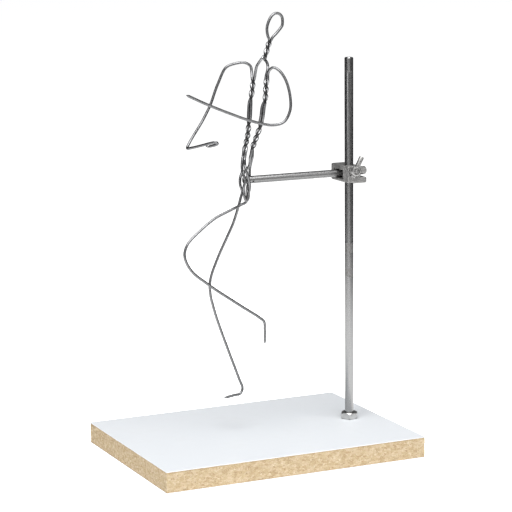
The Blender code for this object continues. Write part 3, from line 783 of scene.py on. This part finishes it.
def barScrew(material):
    low, high = boxCorners("bar_screw")
    centreX, centreZ = (low.x + high.x) / 2, (low.z + high.z) / 2
    length, head = high.y - low.y, (high.x - low.x) / 2
    shank = length - screw["headLength"]
    stations = threadStations(shank, screw["shank"]) + [(head, shank)]
    stations += stepsFrom(head, length, screw["headEdge"])
    piece = turnedUp("barScrewHead", stations, (centreX, low.y, centreZ), (0, 1, 0), 64)
    depth, half = screw["slotDepth"], screw["slotHalf"]
    slot = block("slot", (centreX - 9 * mm, high.y - depth, centreZ - half),
                 (centreX + 9 * mm, high.y + 2 * mm, centreZ + half))
    combine(piece, slot)
    smooth(piece, 30)
    dress(piece, material, "bar_clamping_screw", "bar_screw", "bar_screw")


# horizontal bar
bar = {
    **millimetres(chamfer=0.6, tipRound=0.12, hole=1.0, holeFromEnd=10),
    "holeTilt": radians(24), "tone": (0.245, 0.245, 0.245), "roughness": 0.33, "streaks": 0.4, "marks": [],
}


def supportBar(material):
    low, high = boxCorners("support_bar")
    radius, length = (high.z - low.z) / 2, high.x - low.x
    chamfer = bar["chamfer"]
    stations = [(radius - chamfer, 0), (radius - bar["tipRound"], chamfer * 0.7), (radius, chamfer * 1.4),
                (radius, length - chamfer), (radius - chamfer, length)]
    piece = turnedUp("supportBar", stations, (low.x, barMiddle.y, barMiddle.z), (1, 0, 0), 72)
    across = Vector((0, cos(bar["holeTilt"]), sin(bar["holeTilt"]))) * 8 * mm
    centre = Vector((low.x + bar["holeFromEnd"], barMiddle.y, barMiddle.z))
    combine(piece, rodOf("crossHole", bar["hole"], centre - across, centre + across, 32))
    smooth(piece, 30)
    dress(piece, material, "bar", "bar", "support_bar")


# wire figure
# Points in millimetres from the middle of the bar's end, as in the model: right, away and up.
# A side of the body adds the turns of its twisted pair.
barEnd = Vector((barMiddle.x - barSize.x / 2, barMiddle.y, barMiddle.z))
wire = {
    **millimetres(diameter=3, pairWinding=1.56, step=0.9, cutLength=2.4, cutReach=4, kinks=0.16, barGap=0.1,
        endGap=0.3, topGap=0.01, weld=0.001, creviceReach=0.75, ownReach=7),
    "pairStep": 0.8, "resolution": 7, "cutEdge": 0.18, "cutTaper": 0.82, "kinkScale": 70, "kinkDraw": 11,
    "creviceDepth": 0.6, "crossing": radians(65.1), "tightTwist": 0.045, "bodyLength": 0.97,
    "armLength": 0.69,
}
farSide = [
    (20.4, 16.4, 107.5, 0.08), (19.8, 16, 103, 0.264), (19.2, 15.7, 99, 0.52),
    (18.5, 15.3, 94.9, 0.764), (17.5, 14.7, 90.8, 1.02), (16.4, 14, 86.6, 1.24),
    (15.2, 13.5, 82.5, 1.36), (13.9, 12.6, 73, 1.42), (13, 11.6, 65, 1.42), (12.2, 11, 60.5, 1.35),
    (11.7, 10.6, 57.4, 1.24), (11, 9.9, 53.6, 1.01), (10.2, 9.2, 49.8, 0.764), (9.4, 8.7, 46.4, 0.51),
    (8.5, 8.2, 43.1, 0.264), (7.4, 7.8, 39.8, 0.01), (6.5, 7.4, 36.6, -0.236), (5.6, 7.2, 32.8, -0.45),
    (4.9, 7, 29, -0.57), (4.2, 6.7, 25.5, -0.6),
]
nearSide = [
    (20.8, -17, 112.5, -0.15), (20.5, -17, 108, -0.08), (20.1, -16.8, 105, 0.05),
    (19.8, -16.6, 101.2, 0.264), (19.75, -16.3, 97.3, 0.52), (19.7, -16, 93.4, 0.764),
    (19.6, -15.5, 89.3, 1.01), (19.3, -15, 84.9, 1.264), (18.3, -14.4, 81.5, 1.38),
    (17.4, -14, 78, 1.42), (16.6, -13.2, 70, 1.42), (16, -11.9, 64, 1.42), (15.5, -11.2, 60, 1.38),
    (15, -10.8, 57, 1.264), (13.6, -10.1, 53, 1.01), (12.1, -9.5, 48.8, 0.764),
    (10.9, -8.9, 45.2, 0.51), (9.8, -8.4, 41.7, 0.264), (8.6, -7.9, 38.4, 0.01),
    (7.4, -7.4, 35, -0.236), (7.1, -7.1, 31.5, -0.3), (6.9, -6.9, 28.5, -0.32), (6.4, -6.5, 25, -0.36),
]
neckPair = [
    (24.9, 0, 128.4, -0.05), (27.4, 0, 132.3, -0.319), (28.7, 0, 136.4, -0.58),
    (29.8, 0, 140.3, -0.819), (31.1, 0, 143.5, -1.08), (32.3, 0, 146.4, -1.319), (33, 0, 148.4, -1.45),
]
headLoop = [
    (35.8, 0, 150.6), (40.4, 0, 154.9), (45.3, 0, 160.3), (47.1, 0, 162.9), (47.6, 0, 167),
    (47.1, 0, 171.4), (44.6, 0, 174.8), (39.9, 0, 176.1), (35.7, 0, 174), (32.9, 0, 170.7),
    (30.1, 0, 164.6), (29.2, 0, 159.7), (29.6, 0, 155.3), (30.4, 0, 151.8),
]
farNeck = [(23.1, 8, 123.5), (22.3, 12, 119.1), (22.2, 15.2, 112)]
nearNeck = [(25.3, -5.5, 126.4), (24.8, -10, 123.9), (22.9, -14.8, 119.2)]
farHip = [
    (1.5, 6.2, 19), (0.9, 5.4, 14), (0.7, 4.5, 8.5), (-2.4, 3, 1.7), (-2.7, 2.5, -5.6), (-0.7, 2, -12.7),
    (-2.4, 2, -19), (-4.9, 1.5, -26.5),
]
nearHip = [
    (7.6, -2.5, 17.2), (8.2, 1, 11.4), (9.8, 5.4, 5.3), (10.1, 6.4, 0.8), (9, 6.2, -3.9),
    (7.2, 5.3, -8), (6.2, 3.6, -11.5), (5.4, 1.6, -15.5), (4, -0.2, -20.1), (2.3, -1.5, -23.5),
    (-0.3, -2.2, -24.9), (-3.5, -2.8, -25.7),
]
pelvisFold = [
    (3.2, 3.4, 20.6), (1.4, -0.8, 18.3), (-0.7, -6, 15.6), (-0.3, -8.1, 11.2), (2.9, -7.6, 0.3),
    (4.5, -6.5, -7.8), (3.5, -5.6, -13), (2.7, -5.4, -19.6), (1.05, -5.4, -21.6),
    (-0.6, -5.4, -19.6), (-1.8, -5.2, -10.5), (-2.2, -6, -6), (-0.6, -6.4, 0.4), (-2.2, -5, 7.6),
    (1.2, -3.4, 11.2), (4.9, -4.8, 15.8),
]
supportLeg = [
    (-10.6, 4, -46), (-26.8, 8, -82), (-35.9, 9, -106), (-36.5, 9, -121), (-30.5, 8, -146.7),
    (-17.7, 5, -185.5), (-7.1, 2, -216.5), (-3.2, 1, -228.5), (-6.5, 0, -233.9),
    (-14, -1.2, -234.4), (-26.5, -3, -235.5),
]
raisedLeg = [
    (-6.8, -3.6, -26.8), (-17, -7, -29.6), (-39, -11, -37.2), (-61.2, -15, -51), (-74, -18, -61.9),
    (-77.5, -19, -73.4), (-69.9, -19, -89.3), (-50.4, -18, -105.9), (-11.5, -16, -133.3),
    (9.6, -15, -147.6), (15.8, -15, -153.2), (16.8, -15, -162.4), (16.6, -15, -177.3),
]
farArm = [
    (20.2, 19.8, 112), (19.8, 22.4, 119.2), (14.1, 24.6, 122.9), (1.8, 28, 121.5), (-6, 30, 117.6),
    (-14.4, 32, 100.4), (-25.3, 32, 75.1), (-38.4, 30, 55.3), (-49.6, 28, 41), (-54.3, 24, 34.9),
    (-51.5, 18.8, 35.9), (-43.3, 7.2, 39.7), (-34.9, -4, 43.1), (-32.9, -5.4, 42.9), (-31.7, -4.2, 41.4),
    (-32.6, -2, 40.2), (-38.6, 5.8, 37.5),
]
nearArm = [
    (21.9, -20, 117.6), (25, -23.6, 121.1), (29.8, -28, 118), (35.1, -33, 107.9),
    (38.1, -37, 91.4), (37.3, -38, 75.8), (30.2, -38, 64.5), (17.7, -36, 61.8), (-2.3, -33, 66.2),
    (-34, -32, 78.1), (-60.3, -33, 89.4), (-79.3, -35, 98.4),
]
farPhase, nearPhase, neckPhase = radians(-30), radians(150), radians(180)


def blendPoints(low, high, lowKnot, highKnot, at):
    share = (at - lowKnot) / (highKnot - lowKnot)
    return [(1 - share) * a + share * b for a, b in zip(low, high)]


def curveValue(knots, points, index, fraction):
    p0, p1, p2, p3 = points[index - 1:index + 3]
    t0, t1, t2, t3 = knots[index - 1:index + 3]
    at = t1 + (t2 - t1) * fraction
    first = blendPoints(p0, p1, t0, t1, at)
    middle = blendPoints(p1, p2, t1, t2, at)
    last = blendPoints(p2, p3, t2, t3, at)
    first, last = blendPoints(first, middle, t0, t2, at), blendPoints(middle, last, t1, t3, at)
    return blendPoints(first, last, t1, t2, at)


def smoothThrough(points, spacing):
    before = [2 * a - b for a, b in zip(points[0], points[1])]
    after = [2 * a - b for a, b in zip(points[-1], points[-2])]
    padded = [before, *points, after]
    knots = [0]
    for a, b in zip(padded, padded[1:]):
        knots.append(knots[-1] + sqrt((Vector(b[:3]) - Vector(a[:3])).length))
    result = []
    for index in range(1, len(padded) - 2):
        span = (Vector(padded[index + 1][:3]) - Vector(padded[index][:3])).length
        steps = max(1, ceil(span / spacing))
        result += [curveValue(knots, padded, index, step / steps) for step in range(steps)]
    result.append(list(points[-1]))
    return result


def placed(point):
    return barEnd + Vector(point[:3]) * mm


def freeStretch(points):
    # the fourth value is painted shade on the wire there, negative for a painted highlight, which only a
    # twisted pair changes
    return [(*placed(point), 0.0) for point in points]


def twistedStretch(centres, phase):
    # one wire of a pair that winds round its own centre line
    line = smoothThrough(centres, wire["pairStep"])
    places = [placed(point) for point in line]
    result = []
    for i, (place, point) in enumerate(zip(places, line)):
        along = (places[min(i + 1, len(line) - 1)] - places[max(i - 1, 0)]).normalized()
        right = Vector((1, 0, 0))
        right = (right - along * right.dot(along)).normalized()
        away = right.cross(along) if along.z < 0 else along.cross(right)
        angle = phase + 2 * pi * point[3]
        place = place + (right * cos(angle) + away * sin(angle)) * wire["pairWinding"]
        before, after = line[max(i - 1, 0)], line[min(i + 1, len(line) - 1)]
        run = (Vector(after[:3]) - Vector(before[:3])).length
        tightness = min(1.0, abs(after[3] - before[3]) / run / wire["tightTwist"])
        # painted shade where the strands cross in view and painted highlight where they lie side by side, only
        # where the twist is tight
        result.append((*place, cos(2 * (angle - wire["crossing"])) * tightness))
    return result


def clearOfBar(points):
    nearest = (barSize.z + wire["diameter"]) / 2 + wire["barGap"]
    endRoom = wire["diameter"] / 2 + wire["endGap"]
    result = []
    for point in points:
        offset = point - barEnd
        side = Vector((0, offset.y, offset.z))
        if offset.x > 0 and side.length < nearest:
            point = barEnd + Vector((offset.x, 0, 0)) + side.normalized() * nearest
        elif side.length < barSize.z / 2 and offset.x > -endRoom:
            point = barEnd + side - Vector((endRoom, 0, 0))
        result.append(point)
    return result


def cutEnd(piece, tip, inward):
    # side cutters leave a wedge: the wire narrows to an edge over its last two millimetres
    across = inward.cross(Vector((0, 1, 0))).normalized()
    for vertex in piece.data.vertices:
        offset = vertex.co - tip
        depth = offset.dot(inward)
        if -0.5 * mm < depth < wire["cutLength"] and offset.length < wire["cutReach"]:
            side = offset.dot(across)
            narrow = wire["cutEdge"] + wire["cutTaper"] * max(depth, 0) / wire["cutLength"]
            vertex.co += across * side * (narrow - 1)


def markCrevices(wires):
    # painted shade with some dirt, darker towards any other strand that lies within reach of the surface
    lines = [(owner, index * wire["step"], point) for owner, (piece, points, shades) in enumerate(wires)
             for index, point in enumerate(points)]
    tree = kdtree.KDTree(len(lines))
    for index, line in enumerate(lines):
        tree.insert(line[2], index)
    tree.balance()
    radius = wire["diameter"] / 2
    for owner, (piece, points, shades) in enumerate(wires):
        crossingShade = piece.data.attributes.new("crossingShade", "FLOAT", "POINT")
        marks = piece.data.attributes.new("crevice", "FLOAT", "POINT")
        ownTree = kdtree.KDTree(len(points))
        for index, point in enumerate(points):
            ownTree.insert(point, index)
        ownTree.balance()
        depths, presses = [], []
        for vertex in piece.data.vertices:
            here = ownTree.find(vertex.co)[1]
            nearest = wire["creviceReach"]
            for point, index, away in tree.find_range(vertex.co, radius + wire["creviceReach"]):
                other, along = lines[index][:2]
                if other != owner or abs(along - here * wire["step"]) > wire["ownReach"]:
                    nearest = min(nearest, away - radius)
            depths.append((1 - max(nearest, 0) / wire["creviceReach"]) ** 1.5 * wire["creviceDepth"])
            presses.append(shades[here])
        marks.data.foreach_set("value", depths)
        crossingShade.data.foreach_set("value", presses)


def makeWire(name, route, material, node, kinkSeed):
    dense = smoothThrough(route, wire["step"])
    shades = [point[3] for point in dense]
    points = clearOfBar([Vector(point[:3]) for point in dense])
    for i, point in enumerate(points):   # hand-bent wire is never quite even
        waver = noise.noise_vector(point * wire["kinkScale"] + Vector((kinkSeed, 0, 0)))
        points[i] = point + waver * wire["kinks"]
        points[i].z = min(points[i].z, cadHigh.z - wire["diameter"] / 2 - wire["topGap"])
    curve = bpy.data.curves.new(name, "CURVE")
    curve.dimensions = "3D"
    curve.bevel_depth = wire["diameter"] / 2
    curve.bevel_resolution = wire["resolution"]
    curve.use_fill_caps = True
    spline = curve.splines.new("POLY")
    spline.points.add(len(points) - 1)
    for target, point in zip(spline.points, points):
        target.co = (*point, 1)
    piece = bpy.data.objects.new(name, curve)
    bpy.context.scene.collection.objects.link(piece)
    activate(piece)
    bpy.ops.object.convert(target="MESH")
    piece = bpy.context.active_object
    cutEnd(piece, points[0], (points[3] - points[0]).normalized())
    cutEnd(piece, points[-1], (points[-4] - points[-1]).normalized())
    openEdit()
    bpy.ops.mesh.remove_doubles(threshold=wire["weld"])
    closeEdit()
    smooth(piece, 40)
    dress(piece, material, "figure", "wire", node)
    return piece, points, shades


def wireFigure():
    noise.seed_set(wire["kinkDraw"])   # else the kinks would differ from run to run
    body = (freeStretch((farHip + supportLeg)[::-1]) + twistedStretch(farSide[::-1], farPhase)
            + freeStretch(farNeck[::-1]) + twistedStretch(neckPair, neckPhase) + freeStretch(headLoop)
            + twistedStretch(neckPair[::-1], neckPhase + pi) + freeStretch(nearNeck)
            + twistedStretch(nearSide, nearPhase) + freeStretch(nearHip + raisedLeg))
    arms = (freeStretch(farArm[::-1]) + twistedStretch(farSide, farPhase + pi) + freeStretch(pelvisFold)
            + twistedStretch(nearSide[::-1], nearPhase + pi) + freeStretch(nearArm))
    markCrevices([makeWire("bodyWire", body, wireFinish(wire["bodyLength"]), "body_wire", 0.0),
                  makeWire("armWire", arms, wireFinish(wire["armLength"]), "arm_wire", 7.3)])


# floor, light and camera
# The room is dark past a round white sweep, which is what the polished rod and the wire mirror.
# The camera itself sees a pale floor and a pale room in every direction.
studio = {
    "sweepEdge": 0.85, "sweepFade": 0.35, "roomFloor": 0.045, "roomTone": (0.10, 0.102, 0.105),
    "seenTone": (0.88, 0.885, 0.89), "floorTone": 0.86, "floorGlow": 0.62, "seenGlow": 0.90,
    "laneHeading": (-0.461, -0.888, 0), "laneEdge": 0.84, "laneCore": 0.985, "laneGlow": 0.62,
}
lamps = (("overhead", (-0.4, -0.8, 2.05), (0, 0, 0.1), 1.9, 72),
         ("frontRight", (1.3, -2.0, 1.2), (0, 0, 0.2), 1.4, 12),
         ("frontLeft", (-2.2, -1.2, 0.9), (0, 0, 0.3), 1.2, 10))
view = {
    "sensor": 36, "lens": 147.205, "place": (-0.9259, -2.0030, 0.6203), "yaw": radians(24.8847),
    "pitch": radians(10.4124), "roll": radians(-0.526),
}


def pictureStage():
    bpy.ops.object.select_all(action="DESELECT")
    bpy.ops.mesh.primitive_plane_add(size=24, location=(0, 4, -0.0002))
    floor = named("floor")
    finish = Finish("paleFloor", Roughness=0.9, Emission_Strength=1.0)
    grey = {part: (tone,) * 3 for part, tone in studio.items() if isinstance(tone, float)}
    flat = finish.vector("MULTIPLY", finish.place, {1: (1, 1, 0)})
    distance = finish.vector("LENGTH", flat, None, "Value")
    beyond = finish.between(distance, studio["sweepEdge"], studio["sweepEdge"] + studio["sweepFade"])
    seen = finish.add("ShaderNodeLightPath", output="Is Camera Ray")
    heading = finish.vector("NORMALIZE", finish.vector("SUBTRACT", flat, {1: (*rodMiddle.xy, 0)}))
    aligned = finish.vector("DOT_PRODUCT", heading, {1: studio["laneHeading"]}, "Value")
    lane = finish.between(aligned, studio["laneEdge"], studio["laneCore"])
    finish.drive("Base Color", finish.mix(beyond * (1 - seen), grey["floorTone"], grey["roomFloor"]))
    mirrored = finish.mix(beyond, grey["floorGlow"], finish.mix(lane, grey["roomFloor"], grey["laneGlow"]))
    finish.drive("Emission Color", finish.mix(seen, mirrored, grey["seenGlow"]))
    floor.data.materials.append(finish.material)
    settle(floor)
    floor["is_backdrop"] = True
    world = bpy.data.worlds.new("studio")
    world.use_nodes = True
    tree = world.node_tree
    seen = Signal(tree).add("ShaderNodeLightPath", output="Is Camera Ray")
    tones = {0: seen, 6: (*studio["roomTone"], 1), 7: (*studio["seenTone"], 1)}
    Signal(tree).feed(tree.nodes["Background"].inputs["Color"],
                      Signal(tree).add("ShaderNodeMix", {"data_type": "RGBA"}, tones, 2))
    bpy.context.scene.world = world
    for name, place, target, size, power in lamps:
        bpy.ops.object.light_add(type="AREA", location=place)
        lamp = bpy.context.active_object
        lamp.name = name
        lamp.data.size = size
        lamp.data.energy = power
        lamp.rotation_euler = (Vector(place) - Vector(target)).to_track_quat("Z", "Y").to_euler()


def pictureCamera():
    data = bpy.data.cameras.new("camera")
    data.sensor_width = view["sensor"]
    data.lens = view["lens"]
    camera = bpy.data.objects.new("camera", data)
    bpy.context.scene.collection.objects.link(camera)
    yaw, pitch, roll = view["yaw"], view["pitch"], view["roll"]
    forward = Vector((sin(yaw) * cos(pitch), cos(yaw) * cos(pitch), -sin(pitch)))
    level = Vector((cos(yaw), -sin(yaw), 0))
    upright = level.cross(forward)
    right = level * cos(roll) + upright * sin(roll)
    top = upright * cos(roll) - level * sin(roll)
    turn = Matrix((right, top, -forward)).transposed().to_4x4()
    camera.matrix_world = Matrix.Translation(view["place"]) @ turn
    bpy.context.scene.camera = camera
    bpy.context.scene.view_settings.view_transform = "Standard"


print("stage and camera")
pictureStage()
pictureCamera()

print("board")
chipboard = chipboardFinish()
laminate = laminateFinish()
boardCore(chipboard)
boardFacing("boardTopFacing", boardSize.z - board["facing"], boardSize.z, laminate)
boardFacing("boardUnderFacing", 0, board["facing"], laminate)

print("rod and nut")
uprightRod(drawnSteelFinish("rodSteel", "Z", rod))
footNut(platedFinish("nutPlating", nut))

print("clamp and screws")
clampCasting(castFinish())
screwPlating = platedFinish("screwPlating", screw)
rodScrew(screwPlating)
screwHandle(screwPlating)
barScrew(screwPlating)

print("bar")
supportBar(drawnSteelFinish("barSteel", "X", bar))

print("figure")
wireFigure()

print("finished")
